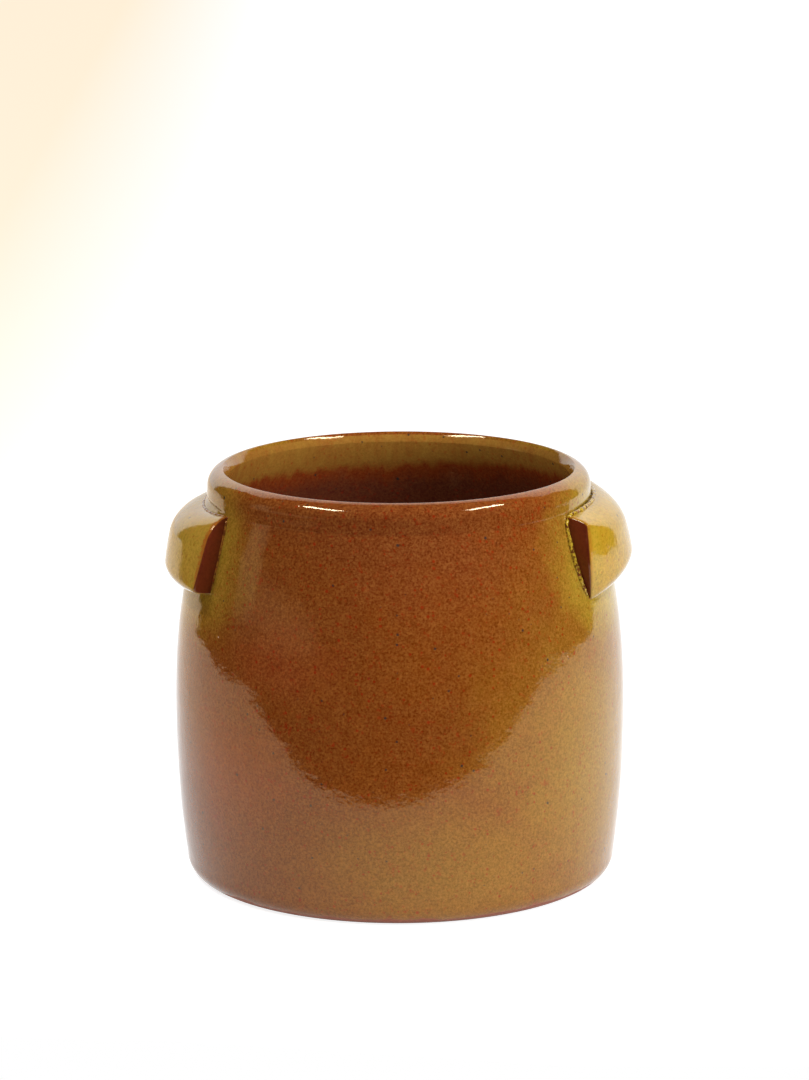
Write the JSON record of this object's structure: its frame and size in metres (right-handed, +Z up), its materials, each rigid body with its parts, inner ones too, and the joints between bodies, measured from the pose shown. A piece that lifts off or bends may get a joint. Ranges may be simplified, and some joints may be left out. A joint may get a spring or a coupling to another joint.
{
  "type": "planter pot",
  "caption": "Wide glazed stoneware pot for a plant, with a rolled lip, a flat foot and a solid slab ear luted to the shoulder on each side.",
  "frame": {"origin": "centre of the foot, on the surface that the pot stands on", "axes": "+Z up the pot's axis, +X along the line of the two ears, -Y towards the front cut ends of the ears"},
  "size_m": [0.2274, 0.22, 0.2008],
  "materials": {
    "body_glaze": "honey brown speckled glaze, glossy",
    "ear_glaze": "olive gold glaze, glossy, breaking amber at the cut edges",
    "bead_glaze": "olive glaze pooled over slip, glossy"
  },
  "bodies": {
    "root": {"pot_body": "body_glaze", "left_ear": "ear_glaze", "right_ear": "ear_glaze", "left_luting_bead": "bead_glaze", "right_luting_bead": "bead_glaze"}
  },
  "joints": []
}
